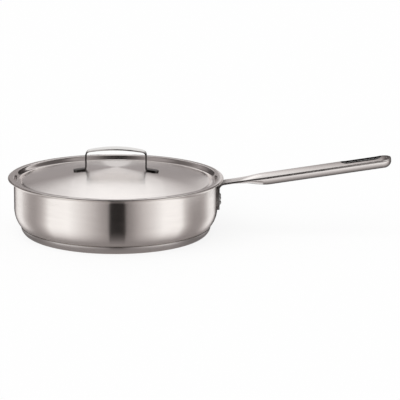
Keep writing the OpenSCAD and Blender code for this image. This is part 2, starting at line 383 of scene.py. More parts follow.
WALL_STEEL = Steel("spun_wall_steel", (0.94, 0.895, 0.86), (0.91, 0.86, 0.825), 0.24, 0.95, Grain.ROUND)
LID_STEEL = Steel("spun_lid_steel", (0.94, 0.895, 0.87), (0.92, 0.875, 0.85), 0.2, 0.95, Grain.ROUND,
                  line_length=3.0, relief=0.02, streaks=0.006, clouds=0.008, crisp_from=121.5)
# The capsule plate's left and right sides are painted darker by its zone, a painted dark reflection.
BASE_STEEL = Steel("spun_base_steel", (0.84, 0.80, 0.775), (0.78, 0.74, 0.72), 0.3, 0.8, Grain.ROUND,
                   line_pitch=0.5, painted_zone=PaintedShadeZone((0.5, 0.48, 0.465), 112.0, 70.0))
CORE_METAL = Steel("turned_aluminium", (0.86, 0.86, 0.87), (0.78, 0.78, 0.79), 0.4, 0.6, Grain.ROUND,
                   line_pitch=0.6)
# The handle's flange and bend by the wall are painted dark by its zone, painted shade under the rim and a
# painted dark reflection; its hollow inside is painted near black as shade.
HANDLE_STEEL = Steel("satin_handle_steel", (0.92, 0.88, 0.855), (0.87, 0.83, 0.805), 0.22, 0.4, Grain.ALONG,
                     painted_zone=PaintedShadeZone((0.2, 0.19, 0.185), 137.0, 143.0), painted_inside_shade=(0.055, 0.053, 0.05))
# The strap's feet and ankles are painted near black by its zone, a painted dark reflection.
STRAP_STEEL = Steel("polished_strap_steel", (0.84, 0.83, 0.81), (0.78, 0.77, 0.755), 0.1, 0.0, Grain.NONE,
                    relief=0.02, streaks=0.01, clouds=0.02, painted_zone=PaintedShadeZone((0.11, 0.105, 0.1), 38.2, 35.0))
# The rivets' colours are painted dark, standing in for shade under the rim and dark reflections.
DARK_PAINTED_RIVET_STEEL = Steel("polished_rivet_steel_painted_dark", (0.42, 0.41, 0.40), (0.34, 0.33, 0.32), 0.16, 0.0, Grain.NONE,
                    relief=0.03, streaks=0.02, clouds=0.02)


def dress(piece: bpy.types.Object, steel: Steel, node: str, body: str) -> None:
    """Gives a piece its finish, hides the CAD node that it stands for and ties it to the body that it moves
    with.

    Args:
        piece: The new mesh.
        steel: Its finish.
        node: Name of the CAD node.
        body: Name of the CAD body that it moves with.
    """
    piece.data.materials.append(bpy.data.materials.get(steel.name) or steel.material())
    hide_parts(node)
    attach(piece, body)
    log.info("%s stands for %s: %d faces", piece.name, node, len(piece.data.polygons))


@dataclass
class Pan:
    """The drawn bowl with its capsule base. Sizes are in millimetres."""

    wall_r: float = 131.0
    sheet: float = 1.0
    rim_z: float = 72.8
    rim_r: float = 138.4
    flare_r: float = 5.5
    corner_z: float = 34.0
    corner_rx: float = 18.7
    corner_rz: float = 27.0
    foot_r: float = 113.0
    cap_t: float = 0.8
    seam_z: float = 10.9
    lip_round: float = 0.45
    cap_round: float = 0.5
    seam_gap: float = 0.5
    corner_steps: int = 40
    flare_steps: int = 16
    core_steps: int = 24
    cap_steps: int = 30

    @property
    def corner(self) -> Point:
        """Centre of the curved lower wall."""
        return self.wall_r - self.corner_rx, self.corner_z

    @property
    def seam_angle(self) -> float:
        """Angle on the lower curve at which the capsule's edge meets the wall, in degrees."""
        return -math.degrees(math.asin((self.corner_z - self.seam_z) / self.corner_rz))

    @property
    def seam_r(self) -> float:
        """Radius of the wall at the seam."""
        return self.corner[0] + self.corner_rx * math.cos(math.radians(self.seam_angle))

    @property
    def edge_axes(self) -> Point:
        """Half axes of the capsule plate's inside, where it turns up."""
        return self.seam_r - self.foot_r, self.seam_z - self.cap_t

    @property
    def lip_low(self) -> float:
        """Height at which the capsule's edge stops, a gap below the seam."""
        return self.seam_z - self.seam_gap

    def body_outline(self) -> list[Point]:
        """Outline of the bowl: outside up to the rim, then back down the inside.

        Returns:
            Points of radius and height.
        """
        flare = (self.wall_r + self.flare_r, self.rim_z - self.sheet - self.flare_r)
        inside = self.flare_r + self.sheet
        low, high = (self.rim_r, self.rim_z - self.sheet), (self.rim_r, self.rim_z)
        inner_axes = (self.corner_rx - self.sheet, self.corner_rz - self.sheet)
        bottom = self.corner_z - self.corner_rz
        return [
            (0.0, bottom),
            *arc(self.corner, (self.corner_rx, self.corner_rz), -90, 0, self.corner_steps),
            *arc(flare, (self.flare_r, self.flare_r), 180, 90, self.flare_steps),
            *eased([(flare[0], low[1]), low, high, (flare[0], self.rim_z)], self.lip_round),
            *arc(flare, (inside, inside), 90, 180, self.flare_steps),
            *arc(self.corner, inner_axes, 0, -90, self.corner_steps),
            (0.0, bottom + self.sheet),
        ]

    def core_outline(self) -> list[Point]:
        """Outline of the aluminium disc, its thin edge kept back below the seam.

        Returns:
            Points of radius and height.
        """
        side = arc((self.foot_r, self.seam_z), self.edge_axes, -90, 0, self.core_steps)
        curve = arc(self.corner, (self.corner_rx, self.corner_rz), self.seam_angle, -90, self.core_steps)
        kept = [p for p in side + curve if p[1] < self.lip_low]
        return [(0.0, self.cap_t), *kept, (0.0, self.corner_z - self.corner_rz)]

    def cap_outline(self) -> list[Point]:
        """Outline of the capsule plate: flat below, turned up at the edge, with an eased lip.

        Returns:
            Points of radius and height.
        """
        foot = (self.foot_r, self.seam_z)
        outside = arc(foot, (self.edge_axes[0] + self.cap_t, self.seam_z), -90, 0, self.cap_steps)
        inside = arc(foot, self.edge_axes, 0, -90, self.cap_steps)
        lip = eased([*outside[-2:], (self.seam_r, self.lip_low)], self.cap_round)
        low = [p for p in inside if p[1] < self.lip_low]
        return [(0.0, 0.0), *outside[:-1], *lip, *low, (0.0, self.cap_t)]

    def build(self) -> None:
        """Makes the bowl, the disc and the capsule plate."""
        dress(lathe("bowl", self.body_outline()), WALL_STEEL, "pan_body", "pan")
        dress(lathe("heat_disc", self.core_outline()), CORE_METAL, "base_core", "pan")
        dress(lathe("capsule_plate", self.cap_outline()), BASE_STEEL, "base_cap", "pan")


class Station(NamedTuple):
    """One cross-section of the long handle, in millimetres and degrees."""

    x: float
    z: float
    heading: float
    half: float
    wrap: float
    crown: float
    depth: float
    power: float

    def at(self, across: float, up: float) -> Vector:
        """The point at a distance across the handle and up from the line between its halves."""
        lean = math.radians(self.heading)
        return Vector((self.x - up * math.sin(lean), across, self.z + up * math.cos(lean)))

    def bow(self, across: float) -> float:
        """How far the upper half's underside bows out at a distance across."""
        return self.wrap + self.crown * (1 - (across / self.half) ** 2)


@dataclass
class LongHandle:
    """The hollow long handle: an upper and a lower stamping that meet at a crease. Millimetres."""

    wall_r: float = 131.0
    sheet: float = 1.4
    gap: float = 0.05
    flange_z: float = 32.0
    flange_w: float = 15.0
    flange_lift: float = 0.05
    neck_w: float = 11.0
    narrow_below: float = 10.0
    narrow_above: float = 6.0
    grip_w: float = 13.0
    rise: float = 9.17
    bend_r: float = 8.0
    tip_x: float = 353.0
    crown: float = 3.5
    trough: float = 10.7
    slot_r: float = 9.0
    under_slot_r: float = 3.2
    slot_len: float = 52.0
    slot_land: float = 12.0
    slot_clear: float = 0.3
    slot_lead: float = 1.0
    grip_ref: Point = (191.0, 74.8)
    neck_end_x: float = 150.0
    crown_full_x: float = 190.0
    trough_full_x: float = 197.0
    square_power: float = 8.0
    square_run: float = 20.0
    tip_round: float = 13.0
    tip_stop: float = 0.25
    trough_round: float = 9.5
    corner_round: float = 7.0
    edge_round: float = 0.5
    edge_across: float = 0.4
    edge_down: float = 0.6
    # Share of painted shade along the bottom of the trough's outside.
    under_shade: float = 0.6
    neck_pitch: float = 1.5
    round_steps: int = 14
    slot_steps: int = 16
    bend_steps: int = 20
    across_steps: int = 22

    @property
    def face_x(self) -> float:
        """Distance of the flange's mating line from the pan's axis."""
        return self.wall_r + self.sheet + self.gap

    @property
    def bend_end(self) -> Point:
        """Where the bend runs into the neck."""
        x = self.face_x + self.bend_r * (1 - math.cos(math.radians(90 - self.rise)))
        return x, self.crease_z(x)

    @property
    def bend_start_z(self) -> float:
        """Height at which the flange starts to bend outwards."""
        return self.bend_end[1] - self.bend_r * math.sin(math.radians(90 - self.rise))

    @property
    def slot_ends(self) -> Point:
        """Where the hanging slot starts and ends."""
        end = self.tip_x - self.slot_land
        return end - self.slot_len, end

    def crease_z(self, x: float) -> float:
        """Height of the crease at a distance from the pan's axis."""
        return self.grip_ref[1] + (x - self.grip_ref[0]) * math.tan(math.radians(self.rise))

    def flange_width(self, z: float) -> float:
        """Half width of the flange and the neck's root.

        Args:
            z: Height.

        Returns:
            The half width, rounded at the foot and narrower towards the neck.
        """
        low = self.flange_z + self.corner_round
        rounding = self.corner_round * (1 - closing(low - z, 0.0, self.corner_round))
        narrowing = ramp(z, self.bend_start_z - self.narrow_below, self.bend_start_z + self.narrow_above)
        return self.flange_w - rounding - (self.flange_w - self.neck_w) * narrowing

    def bend_station(self, z: float, turn: float = 0.0) -> Station:
        """A cross-section of the flange, which wraps the wall, or of the bend above it.

        Args:
            z: Height.
            turn: How far the bend has turned outwards there, in degrees.

        Returns:
            The cross-section.
        """
        half = self.flange_width(z)
        sag = (self.face_x - math.sqrt(self.face_x ** 2 - half ** 2)) * (1 - turn / (90 - self.rise))
        x = self.face_x + self.bend_r * (1 - math.cos(math.radians(turn)))
        return Station(x, z, 90 - turn, half, sag, -sag, self.sheet, self.square_power)

    def grip_station(self, x: float) -> Station:
        """A cross-section of the neck or the grip.

        Args:
            x: Distance from the pan's axis.

        Returns:
            The cross-section.
        """
        close = closing(x, self.tip_x - self.tip_round, self.tip_x)
        grown = ramp(x, self.neck_end_x, self.crown_full_x)
        half = (self.neck_w + (self.grip_w - self.neck_w) * grown) * close
        under = closing(x, self.tip_x - self.trough_round, self.tip_x)
        least = self.sheet / self.trough
        depth = self.sheet + (self.trough - self.sheet) * ramp(x, self.neck_end_x, self.trough_full_x)
        rounding = ramp(x, self.neck_end_x, self.neck_end_x + self.square_run)
        power = self.square_power + (2 - self.square_power) * rounding
        return Station(x, self.crease_z(x), self.rise, half, 0.0, self.crown * grown * close,
                       depth * (least + (1 - least) * under), power)

    def stations(self, slot_r: float) -> list[Station]:
        """Cross-sections from the flange's foot to the tip, close together where the outline turns.

        Args:
            slot_r: Half width of the slot in this half of the handle.

        Returns:
            The stations in order.
        """
        steps = self.round_steps
        quarter = [math.sin(math.radians(90 * i / steps)) for i in range(steps + 1)]
        foot = [self.flange_z + self.corner_round * (1 - q) for q in reversed(quarter)]
        foot += [foot[-1] + (self.bend_start_z - foot[-1]) * i / steps for i in range(1, steps)]
        turns = [(90 - self.rise) * i / self.bend_steps for i in range(self.bend_steps + 1)]
        start, end = self.slot_ends
        neck = self.bend_end[0]
        count = math.ceil((start - self.slot_lead - neck) / self.neck_pitch)
        places = [neck + self.neck_pitch * i for i in range(1, count)]
        places += [start + slot_r * (1 - q) for q in reversed(quarter)]
        middle = end - slot_r - (start + slot_r)
        places += [start + slot_r + middle * i / self.slot_steps for i in range(1, self.slot_steps + 1)]
        places += [end - slot_r * (1 - q) for q in quarter[1:]]
        tip_start = self.tip_x - self.tip_round
        tip = [q for q in quarter if tip_start + self.tip_round * q > end + self.slot_clear]
        places += [tip_start + (self.tip_round - self.tip_stop) * q for q in tip]
        return [
            *[self.bend_station(max(z, self.flange_z + self.flange_lift)) for z in foot],
            *[self.bend_station(self.bend_start_z + self.bend_r * math.sin(math.radians(t)), t)
              for t in turns],
            *[self.grip_station(x) for x in sorted(places)],
        ]

    def slot_half(self, x: float, slot_r: float) -> float:
        """Half width of the slot at a distance from the pan's axis, or 0 outside it."""
        near_end = max(self.slot_ends[0] + slot_r - x, x - (self.slot_ends[1] - slot_r), 0.0)
        return math.sqrt(max(0.0, slot_r ** 2 - near_end ** 2))

    def upper_lines(self, s: Station, slot: float) -> Lines:
        """Top and underside of one half of the upper stamping at a station.

        Args:
            s: The station.
            slot: Half width of the slot there.

        Returns:
            Distances across and up of both, from the middle outwards.
        """
        reach = min(self.edge_round, s.half * self.edge_across)
        across = [slot + (s.half - slot) * math.sin(math.radians(90 * i / self.across_steps))
                  for i in range(self.across_steps + 1)]
        top = [(y, s.bow(y) + self.sheet * closing(y, s.half - reach, s.half)) for y in across]
        return top, [(y, s.bow(y)) for y in across]

    def lower_lines(self, s: Station, slot: float) -> Lines:
        """Outside and inside of one half of the lower stamping at a station.

        Args:
            s: The station.
            slot: Half width of the slot there.

        Returns:
            Distances across and up of both, from the middle to the crease.
        """
        easing = min(self.edge_round, s.depth * self.edge_down)
        inner = (max(s.half - self.sheet, s.half * self.edge_across), max(s.depth - self.sheet, 0.0))
        return (self.trough_line(s, (s.half, s.depth), slot, easing), self.trough_line(s, inner, slot, 0.0))

    def trough_line(self, s: Station, size: Point, slot: float, easing: float) -> list[Point]:
        """One line of the trough from the middle of its bottom to the crease.

        Args:
            s: The station.
            size: Half width at the crease, and depth below it.
            slot: Half width of the slot at the bottom.
            easing: Radius of the rounding at the crease.

        Returns:
            Distances across and up.
        """
        half, depth = size
        first = math.asin(min(1.0, (slot / half) ** (s.power / 2)))
        line = []
        for i in range(self.across_steps + 1):
            angle = first + (math.pi / 2 - first) * i / self.across_steps
            y = half * math.sin(angle) ** (2 / s.power)
            down = depth * max(0.0, math.cos(angle)) ** (2 / s.power)
            if down < easing:
                y -= easing - math.sqrt(easing ** 2 - (easing - down) ** 2)
            line.append((y, (s.bow(y) if s.crown < 0 else 0.0) - down))
        return line

    def stamping(self, name: str, slot_r: float, lines: Callable[[Station, float], Lines],
                 closed_edge: bool, shade: float) -> bpy.types.Object:
        """Skins one stamping from its two sides.

        Args:
            name: Name of the piece.
            slot_r: Half width of its slot.
            lines: Gives the two lines of one half at a station.
            closed_edge: Whether the two lines already meet at the crease.
            shade: How much of the painted inside shade shows along the middle of the outside, a painted shade
                under the trough.

        Returns:
            The new object.
        """
        points: list[Vector] = []
        painted_shades: list[float] = []
        faces: list[Face] = []
        stations = self.stations(slot_r)
        slots = [self.slot_half(s.x, slot_r) if s.heading == self.rise else 0.0 for s in stations]
        width = self.across_steps + 1
        # Painted shade: the outside of the trough darkens towards its bottom, and the inside is painted dark
        # all over.
        painted_outside_shade = [shade * math.cos(math.pi / 2 * i / self.across_steps) ** 2 for i in range(width)]
        for side in (-1, 1):
            base = len(points)
            for s, slot in zip(stations, slots):
                outer, inner = lines(s, slot)
                points += [s.at(side * y, up) for y, up in outer + inner]
                painted_shades += painted_outside_shade + [1.0] * width

            def number(row: int, column: int, inside: int) -> int:
                """Number of a point by station, place across and face."""
                return base + (row * 2 + inside) * width + column

            for row in range(len(stations) - 1):
                for inside in (0, 1):
                    faces += [(number(row, c, inside), number(row + 1, c, inside),
                               number(row + 1, c + 1, inside), number(row, c + 1, inside))
                              for c in range(width - 1)]
                rims = [] if closed_edge else [width - 1]
                if slots[row] or slots[row + 1]:
                    rims.append(0)
                faces += [(number(row, c, 0), number(row + 1, c, 0), number(row + 1, c, 1), number(row, c, 1))
                          for c in rims]
            for row in (0, len(stations) - 1):
                faces += [(number(row, c, 0), number(row, c + 1, 0), number(row, c + 1, 1), number(row, c, 1))
                          for c in range(width - 1)]
        return finished(name, points, faces, painted_shades)

    def build(self) -> None:
        """Makes the two stampings."""
        upper = self.stamping("handle_top", self.slot_r, self.upper_lines, True, 0.0)
        dress(upper, HANDLE_STEEL, "handle_upper_shell", "pan")
        lower = self.stamping("handle_trough", self.under_slot_r, self.lower_lines, False, self.under_shade)
        dress(lower, HANDLE_STEEL, "handle_lower_shell", "pan")


@dataclass
class Rivets:
    """Three solid rivets through the flange and the wall. Millimetres."""

    wall_r: float = 131.0
    sheet: float = 1.0
    flange_sheets: float = 2.85
    shank_r: float = 2.4
    head_r: float = 3.5
    head_h: float = 2.0
    head_round: float = 0.35
    inner_h: float = 0.8
    sink: float = 0.3
    spread: float = 8.0
    upper_z: float = 47.5
    lower_z: float = 40.0
    dome_steps: int = 12

    def outline(self) -> list[Point]:
        """Outline of a rivet along its own axis, from the inner head to the domed outer head.

        Returns:
            Points of radius and distance along the axis.
        """
        inner = -self.sheet - self.inner_h
        outer = self.flange_sheets
        dome_r = (self.head_r ** 2 + self.head_h ** 2) / (2 * self.head_h)
        reach = math.degrees(math.asin(self.head_r / dome_r))
        return [
            (0.0, inner),
            *eased([(0.0, inner), (self.head_r, inner), (self.head_r, 0.0)], self.head_round),
            (self.head_r, -self.sheet + self.sink),
            (self.shank_r, -self.sheet + self.sink),
            (self.shank_r, outer - self.sink),
            (self.head_r, outer - self.sink),
            *arc((0.0, outer + self.head_h - dome_r), (dome_r, dome_r), 90 - reach, 90, self.dome_steps),
        ]

    def build(self) -> None:
        """Makes the rivets and puts each in its place."""
        turn = math.asin(self.spread / self.wall_r)
        places = {"left": (turn, self.upper_z), "right": (-turn, self.upper_z), "lower": (0.0, self.lower_z)}
        for name, (angle, height) in places.items():
            piece = lathe(f"solid_rivet_{name}", self.outline())
            seat = Matrix.Translation((self.wall_r * MM, 0, height * MM))
            flat = Matrix.Rotation(math.radians(90), 4, "Y")
            piece.data.transform(Matrix.Rotation(angle, 4, "Z") @ seat @ flat)
            dress(piece, DARK_PAINTED_RIVET_STEEL, f"rivet_{name}", "pan")


@dataclass
class Lid:
    """The pressed lid and its strap handle. Sizes are in millimetres."""

    rim_z: float = 72.8
    seat_gap: float = 0.2
    radius: float = 137.2
    sheet: float = 0.8
    edge_round: float = 0.35
    drop_r: float = 131.8
    groove_out_r: float = 126.6
    groove_in_r: float = 122.2
    groove_d: float = 6.0
    dome_rise: float = 11.5
    dome_power: float = 1.25
    bead_rise: float = 0.9
    bead_run: float = 1.8
    strap_t: float = 1.8
    strap_w: float = 19.0
    strap_rise: float = 25.0
    strap_round: float = 0.25
    round_share: float = 0.8
    round_steps: int = 4
    least_width: float = 0.01
    foot_w: float = 11.0
    foot_lift: float = 0.15
    toe_stop: float = 0.02
    foot_end_r: float = 55.0
    leg_x: float = 38.6
    arch_r: float = 180.0
    shoulder_r: float = 6.0
    ankle_r: float = 2.4
    drop_steps: int = 24
    bead_steps: int = 10
    dome_steps: int = 48
    dome_spacing: float = 1.3
    ankle_steps: int = 10
    shoulder_steps: int = 14
    arch_steps: int = 20
    toe_steps: int = 12
    leg_steps: int = 8

    @property
    def flange_z(self) -> float:
        """Height of the top of the flange."""
        return self.rim_z + self.seat_gap + self.sheet

    @property
    def dome_top_z(self) -> float:
        """Height of the top of the dome."""
        return self.flange_z + self.dome_rise

    def dome_z(self, radius: float) -> float:
        """Height of the dome at a radius, its edge brought down by the bead."""
        fall = self.dome_rise + self.groove_d - self.bead_rise
        bead = self.bead_rise * ramp(radius, self.groove_in_r - self.bead_run, self.groove_in_r)
        return self.dome_top_z - fall * (radius / self.groove_in_r) ** self.dome_power - bead

    def face(self, lower: float) -> list[Point]:
        """One face of the sheet from the drop inwards to the centre.

        Args:
            lower: How far the face lies below the top one.

        Returns:
            Points of radius and height.
        """
        line = []
        for i in range(self.drop_steps + 1):
            u = i / self.drop_steps
            down = (1 - math.cos(math.pi * u)) / 2
            out = self.drop_r + (self.groove_out_r - self.drop_r) * u + lower * math.sin(math.pi * u) / 2
            line.append((out, self.flange_z - self.groove_d * down - lower))
        edge = self.groove_in_r - self.bead_run
        radii = [self.groove_in_r - self.bead_run * i / self.bead_steps for i in range(self.bead_steps)]
        radii += [edge * (1 - i / self.dome_steps) ** self.dome_spacing for i in range(self.dome_steps + 1)]
        return line + [(r, self.dome_z(r) - lower) for r in radii]

    def shell_outline(self) -> list[Point]:
        """Outline of the lid's sheet with an eased outer edge.

        Returns:
            Points of radius and height.
        """
        top, low = (self.radius, self.flange_z), (self.radius, self.flange_z - self.sheet)
        upper, under = self.face(0.0), self.face(self.sheet)
        edge = eased([under[0], low, top, upper[0]], self.edge_round)
        return [*reversed(under), *edge, *upper]

    def strap_path(self) -> list[Point]:
        """Middle line of the strap in the XZ plane.

        Returns:
            Points from the right foot's end to the left one's.
        """
        top_z = self.dome_top_z + self.strap_rise - self.strap_t / 2
        half = math.degrees(math.asin((self.leg_x - self.shoulder_r) / (self.arch_r - self.shoulder_r)))
        shoulder_z = top_z - self.arch_r + (self.arch_r - self.shoulder_r) * math.cos(math.radians(half))
        end_z = self.dome_z(self.foot_end_r)
        slope = math.atan((self.dome_z(self.leg_x) - end_z) / (self.foot_end_r - self.leg_x))
        foot_z = end_z + self.strap_t / 2 + self.foot_lift
        ankle_x = self.leg_x + self.ankle_r
        ankle_z = foot_z + (self.foot_end_r - ankle_x) * math.tan(slope) + self.ankle_r / math.cos(slope)
        leg_rise = shoulder_z - ankle_z
        toe = self.foot_w / 2
        steps = arc((self.foot_end_r - toe, 0.0), (toe - self.toe_stop, 0.0), 0, 90, self.toe_steps)
        right = [
            *[(x, foot_z + (self.foot_end_r - x) * math.tan(slope)) for x, _ in steps],
            *arc((ankle_x, ankle_z), (self.ankle_r,) * 2, 270 - math.degrees(slope), 180, self.ankle_steps),
            *[(self.leg_x, ankle_z + leg_rise * i / self.leg_steps) for i in range(1, self.leg_steps)],
            *arc((self.leg_x - self.shoulder_r, shoulder_z), (self.shoulder_r,) * 2, 0, 90 - half,
                 self.shoulder_steps),
            *arc((0.0, top_z - self.arch_r), (self.arch_r,) * 2, 90 - half, 90, self.arch_steps)[1:],
        ]
        return [*right, *[(-x, z) for x, z in reversed(right[:-1])]]

    def strap_half_width(self, x: float) -> float:
        """Half width of the strap, widest in the middle and round at the toes.

        Args:
            x: Distance from the lid's axis, to either side.

        Returns:
            The half width.
        """
        away = abs(x)
        narrow = (self.strap_w - self.foot_w) / 2
        side_r = (self.leg_x ** 2 + narrow ** 2) / (2 * narrow)
        toe = self.foot_w / 2
        if away > self.foot_end_r - toe:
            return math.sqrt(max(self.least_width ** 2, toe ** 2 - (away - self.foot_end_r + toe) ** 2))
        leaf = math.sqrt(side_r ** 2 - min(away, self.leg_x) ** 2) - side_r + self.strap_w / 2
        return max(toe, leaf)

    def strap_section(self, x: float) -> list[Point]:
        """Section of the strap, flat with round edges.

        Args:
            x: Distance from the lid's axis, to either side.

        Returns:
            Points of distance across and out.
        """
        half, thick = self.strap_half_width(x), self.strap_t / 2
        radius = min(self.strap_round, half * self.round_share)
        corners = [(-half, -thick), (half, -thick), (half, thick), (-half, thick)]
        return eased([corners[-1], *corners, corners[0]], radius, self.round_steps)

    def strap(self) -> bpy.types.Object:
        """Sweeps the strap's section along its path.

        Returns:
            The new object.
        """
        path = [Vector((x, 0, z)) for x, z in self.strap_path()]
        ring = len(self.strap_section(0.0))
        points: list[Vector] = []
        for i, middle in enumerate(path):
            along = (path[min(i + 1, len(path) - 1)] - path[max(i - 1, 0)]).normalized()
            out = Vector((along.z, 0, -along.x))
            points += [middle + Vector((0, y, 0)) + out * h for y, h in self.strap_section(middle.x)]
        faces = grid(len(path), ring, closed=True)
        faces += [tuple(range(ring)), tuple(range(len(points) - ring, len(points)))]
        return finished("lid_strap", points, faces)

    def build(self) -> None:
        """Makes the lid's shell and its handle."""
        dress(lathe("lid_dome", self.shell_outline()), LID_STEEL, "lid_shell", "lid")
        dress(self.strap(), STRAP_STEEL, "lid_handle", "lid")


def card_material() -> bpy.types.Material:
    """A glow as strong as the card's own shade at each point, warm where it is dark.

    Returns:
        The material.
    """
    made, graph = new_material("graded_card")
    shade = graph.attribute("shade")
    colour = graph.mix(shade, CARD_DARK, CARD_BRIGHT)
    graph.output(graph.node("ShaderNodeEmission", {"Color": colour, "Strength": shade}))
    return made


def card_object(name: str, columns: list[list[Vector]], shades: list[list[float]]) -> None:
    """Makes a reflection card, seen only in reflections.

    Args:
        name: Name of the card.
        columns: Its points in metres, in neighbouring columns of the same length.
        shades: Glow at each point, where 1 is white.
    """
    mesh = bpy.data.meshes.new(name)
    faces = grid(len(columns), len(columns[0]))
    mesh.from_pydata([tuple(p) for column in columns for p in column], [], faces)
    glow = [shade for column in shades for shade in column]
    mesh.attributes.new("shade", "FLOAT", "POINT").data.foreach_set("value", glow)
    mesh.materials.append(bpy.data.materials.get("graded_card") or card_material())
    card = linked(name, mesh)
    for ray in ("camera", "diffuse", "transmission", "volume_scatter", "shadow"):
        setattr(card, f"visible_{ray}", False)


def filled(stops: Sequence[tuple[float, ...]], step: float) -> list[tuple[float, ...]]:
    """Fills in between stops.

    Args:
        stops: Rows of numbers in order of the first number.
        step: About how far apart the rows are, by their first number.

    Returns:
        The stops with even rows between them.
    """
    rows: list[tuple[float, ...]] = []
    for near, far in zip(stops, stops[1:]):
        count = max(1, round((far[0] - near[0]) / step))
        rows += [tuple(n + (f - n) * i / count for n, f in zip(near, far)) for i in range(count)]
    return [*rows, stops[-1]]


@dataclass
class WallCard:
    """The card that the pan's wall reflects, in metres.

    It lies on the floor along the rays that the wall sends back to the camera and turns up at its far
    end, so its grades show as upright bands on the wall. Its stops give turn round the wall in
    degrees, shade, and height; its rows give distance from the wall, share of the stop's height
    and share of the near grey.
    """

    stops: tuple[Triple, ...]
    rows: tuple[Triple, ...] = (
        (0.0, 0.0, 1.0), (0.01, 0.0, 0.66), (0.02, 0.0, 0.4), (0.045, 0.0, 0.14),
        (0.08, 0.0, 0.0), (0.3, 0.0, 0.0), (1.2, 0.0, 0.0), (1.2, 1.0, 0.0),
    )
    eye: Point = (0.1084, -1.946)
    wall_r: float = 0.131
    near_shade: float = 0.25
    floor_z: float = 0.0006
    step: float = 1.0

    def ray(self, turn: float) -> tuple[Vector, Vector]:
        """How the wall reflects the camera's line of sight.

        Args:
            turn: Turn round the wall from the front, in degrees.

        Returns:
            The place on the wall and the direction of the reflection.
        """
        angle = math.radians(turn)
        out = Vector((math.sin(angle), -math.cos(angle), 0))
        sight = (out * self.wall_r - Vector((*self.eye, 0))).normalized()
        return out * self.wall_r, sight - out * (2 * sight.dot(out))

    def build(self) -> None:
        """Makes the card."""
        columns, shades = [], []
        for turn, shade, height in filled(self.stops, self.step):
            wall, ray = self.ray(turn)
            columns.append([wall + ray * out + Vector((0, 0, self.floor_z + rise * height))
                            for out, rise, _ in self.rows])
            shades.append([shade * (1 - near) + self.near_shade * near for _, _, near in self.rows])
        card_object("wall_card", columns, shades)


@dataclass
class FlatCard:
    """A card that runs square to the camera's line, graded from its first line to its last, in metres.

    Its grades give Y, Z, and the shades at the left and right ends. Its right end is higher by the rise.
    """

    name: str
    left: float
    right: float
    grades: tuple[Grade, ...]
    rise: float = 0.0

    def build(self) -> None:
        """Makes the card."""
        columns = [[Vector((self.left, y, z)), Vector((self.right, y, z + self.rise))]
                   for y, z, _, _ in self.grades]
        card_object(self.name, columns, [[left, right] for _, _, left, right in self.grades])


@dataclass
class HoodCard:
    """A curved card round the pan, graded by the turn from the front towards the left.

    Its stops give turn in degrees and shade, and its lines give radius and height in metres.
    """

    name: str
    stops: tuple[Point, ...]
    lines: tuple[Point, ...]
    step: float = 3.0

    def build(self) -> None:
        """Makes the card."""
        columns, shades = [], []
        for turn, shade in filled(self.stops, self.step):
            angle = math.radians(turn)
            columns.append([Vector((-r * math.sin(angle), -r * math.cos(angle), z)) for r, z in self.lines])
            shades.append([shade] * len(self.lines))
        card_object(self.name, columns, shades)


@dataclass
class NearCard:
    """A grey ring on the floor close round the base, seen only in reflections. Metres.

    Its grades give radius and shade.
    """

    grades: tuple[Point, ...] = ((0.10, 0.32), (0.131, 0.25))
    floor_z: float = 0.0012
    steps: int = 96

    def build(self) -> None:
        """Makes the ring."""
        columns = []
        for i in range(self.steps + 1):
            angle = 2 * math.pi * i / self.steps
            columns.append([Vector((r * math.cos(angle), r * math.sin(angle), self.floor_z))
                            for r, _ in self.grades])
        card_object("near_card", columns, [[shade for _, shade in self.grades]] * len(columns))


def standing(y: float, *grades: Triple) -> tuple[Grade, ...]:
    """Grades of a card that stands at one distance, each with its height and its two shades."""
    return tuple((y, z, left, right) for z, left, right in grades)


def lying(z: float, *grades: Triple) -> tuple[Grade, ...]:
    """Grades of a card that lies at one height, each with its distance and its two shades."""
    return tuple((y, z, left, right) for y, left, right in grades)


BACK_Y = 1.3
BACK_HEIGHTS = (0.0, 0.5, 0.64, 0.8, 1.7)
BACK_EDGES = (
    (-0.75, (0.4, 0.4, 0.32, 0.28, 0.28)),
    (-0.22, (0.32, 0.32, 0.76, 1.18, 1.18)),
    (0.08, (0.32, 0.32, 0.76, 1.18, 1.18)),
    (0.55, (0.36, 0.32, 0.24, 0.18, 0.18)),
)
BACK_CARDS = tuple(
    FlatCard(name, left, right, standing(BACK_Y, *zip(BACK_HEIGHTS, first, last)))
    for name, (left, first), (right, last)
    in zip(("left_back_card", "back_card", "right_back_card"), BACK_EDGES, BACK_EDGES[1:])
)

WALL_STOPS = (
    (-90, 0.02, 0.03), (-77, 0.02, 0.03), (-74, 0.25, 0.03), (-71, 0.8, 0.03),
    (-66, 0.95, 0.03), (-62, 0.95, 0.03), (-57, 0.56, 0.3), (-52, 0.36, 1.0),
    (-47, 0.34, 1.2), (-42, 0.47, 1.2), (-39, 0.68, 1.2), (-36, 1.02, 1.2),
    (-24, 1.05, 1.4), (-15, 0.75, 1.6), (-9, 0.54, 1.7), (-1, 0.32, 1.7),
    (-0.4, 0.015, 1.7), (8.0, 0.015, 1.7), (8.6, 0.22, 1.7), (12, 0.32, 1.7),
    (18, 0.58, 1.6), (24, 0.8, 1.4), (30, 1.06, 1.2), (41, 1.06, 1.2),
    (44, 0.6, 1.2), (46, 0.45, 1.2), (50, 0.31, 1.0), (57, 0.32, 0.3),
    (60, 0.41, 0.03), (63, 0.62, 0.03), (66, 0.9, 0.03), (69, 1.0, 0.03),
    (74, 0.95, 0.03), (77, 0.35, 0.03), (79, 0.02, 0.03), (90, 0.02, 0.03),
)

